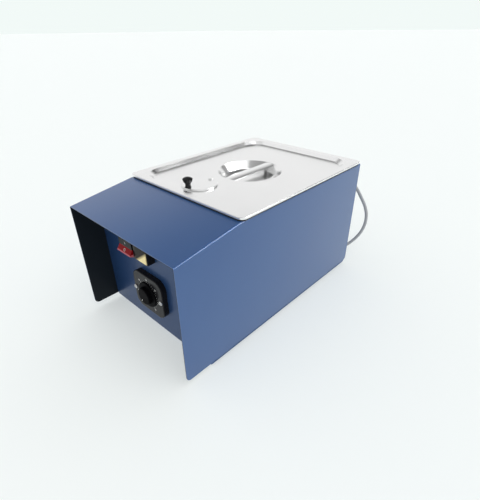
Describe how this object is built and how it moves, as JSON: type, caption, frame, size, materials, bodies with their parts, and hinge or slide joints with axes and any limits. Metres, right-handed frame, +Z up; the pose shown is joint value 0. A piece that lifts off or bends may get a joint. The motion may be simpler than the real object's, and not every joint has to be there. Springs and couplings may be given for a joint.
{
  "type": "laboratory water bath",
  "caption": "Bench water bath: folded blue case with a hooded front, stainless tank, lift-off lid with sunk strap handle and swivelling hole cover, thermostat knob and rocker switch.",
  "frame": {"origin": "on the table under the middle of the case (feet at z = 0), cord, coil, plug and strain relief left out", "axes": "+X to the right seen from the front, +Y from the hooded front to the rear, +Z up"},
  "size_m": [0.2977, 0.542, 0.2385],
  "materials": {
    "blue_paint": "satin metallic",
    "stainless": "satin",
    "zinc_steel": "zinc plated",
    "black_moulding": "satin",
    "black_rubber": "matte",
    "felt": "matte",
    "mat_silicone": "matte",
    "red_plastic": "gloss",
    "amber_plastic": "gloss",
    "white_plastic": "satin",
    "copper": "drawn",
    "grey_pvc": "satin"
  },
  "bodies": {
    "case": {"cover": "blue_paint", "chassis": "blue_paint", "cover_brackets": "zinc_steel", "feet": "black_rubber", "base_screws": "zinc_steel", "rear_screws": "zinc_steel", "tank": "stainless", "tank_gasket": "black_rubber", "tank_shelf": "stainless", "heater_mat": "mat_silicone", "insulation_board": "felt", "insulation_band": "felt", "carrier_plate": "zinc_steel", "carrier_pillars": "zinc_steel", "pillar_base_screws": "zinc_steel", "pillar_top_screws": "zinc_steel", "thermal_cutout": "black_moulding", "thermostat_plate": "black_moulding", "plate_screws": "zinc_steel", "plate_nuts": "zinc_steel", "thermostat": "black_moulding", "thermostat_screws": "zinc_steel", "sensing_bulb": "copper", "bulb_clip": "zinc_steel", "capillary": "copper", "switch_frame": "black_moulding", "switch_body": "black_moulding", "lamp_lens": "amber_plastic", "lamp_body": "black_moulding", "terminal_block": "white_plastic", "terminal_screws": "zinc_steel", "earth_stud": "zinc_steel", "cord_relief": "black_rubber", "relief_nut": "black_moulding", "mains_cord": "grey_pvc", "cord_coil": "grey_pvc", "cord_tail": "grey_pvc", "plug_body": "grey_pvc", "plug_pins": "zinc_steel"},
    "lid_body": {"lid": "stainless", "lid_handle": "stainless", "cover_pivot": "stainless"},
    "hole_cover_body": {"hole_cover": "stainless", "hole_cover_grip": "black_moulding", "grip_screw": "zinc_steel"},
    "knob_body": {"thermostat_knob": "black_moulding", "thermostat_shaft": "zinc_steel"},
    "rocker_body": {"power_rocker": "red_plastic"}
  },
  "joints": [
    {"name": "lid_lift", "type": "slide", "parent": "case", "child": "lid_body", "axis": [0, 0, 1], "range_m": [0, 0.12]},
    {"name": "hole_cover_swing", "type": "hinge", "parent": "lid_body", "child": "hole_cover_body", "pos_m": [-0.014, -0.0265, 0.221], "axis": [0, 0, -1], "range_deg": [0, 130]},
    {"name": "knob_turn", "type": "hinge", "parent": "case", "child": "knob_body", "pos_m": [-0.0025, -0.19, 0.075], "axis": [0, 1, 0], "range_deg": [0, 300]},
    {"name": "rocker_tilt", "type": "hinge", "parent": "case", "child": "rocker_body", "pos_m": [-0.038, -0.185, 0.1515], "axis": [1, 0, 0], "range_deg": [0, 28]}
  ]
}
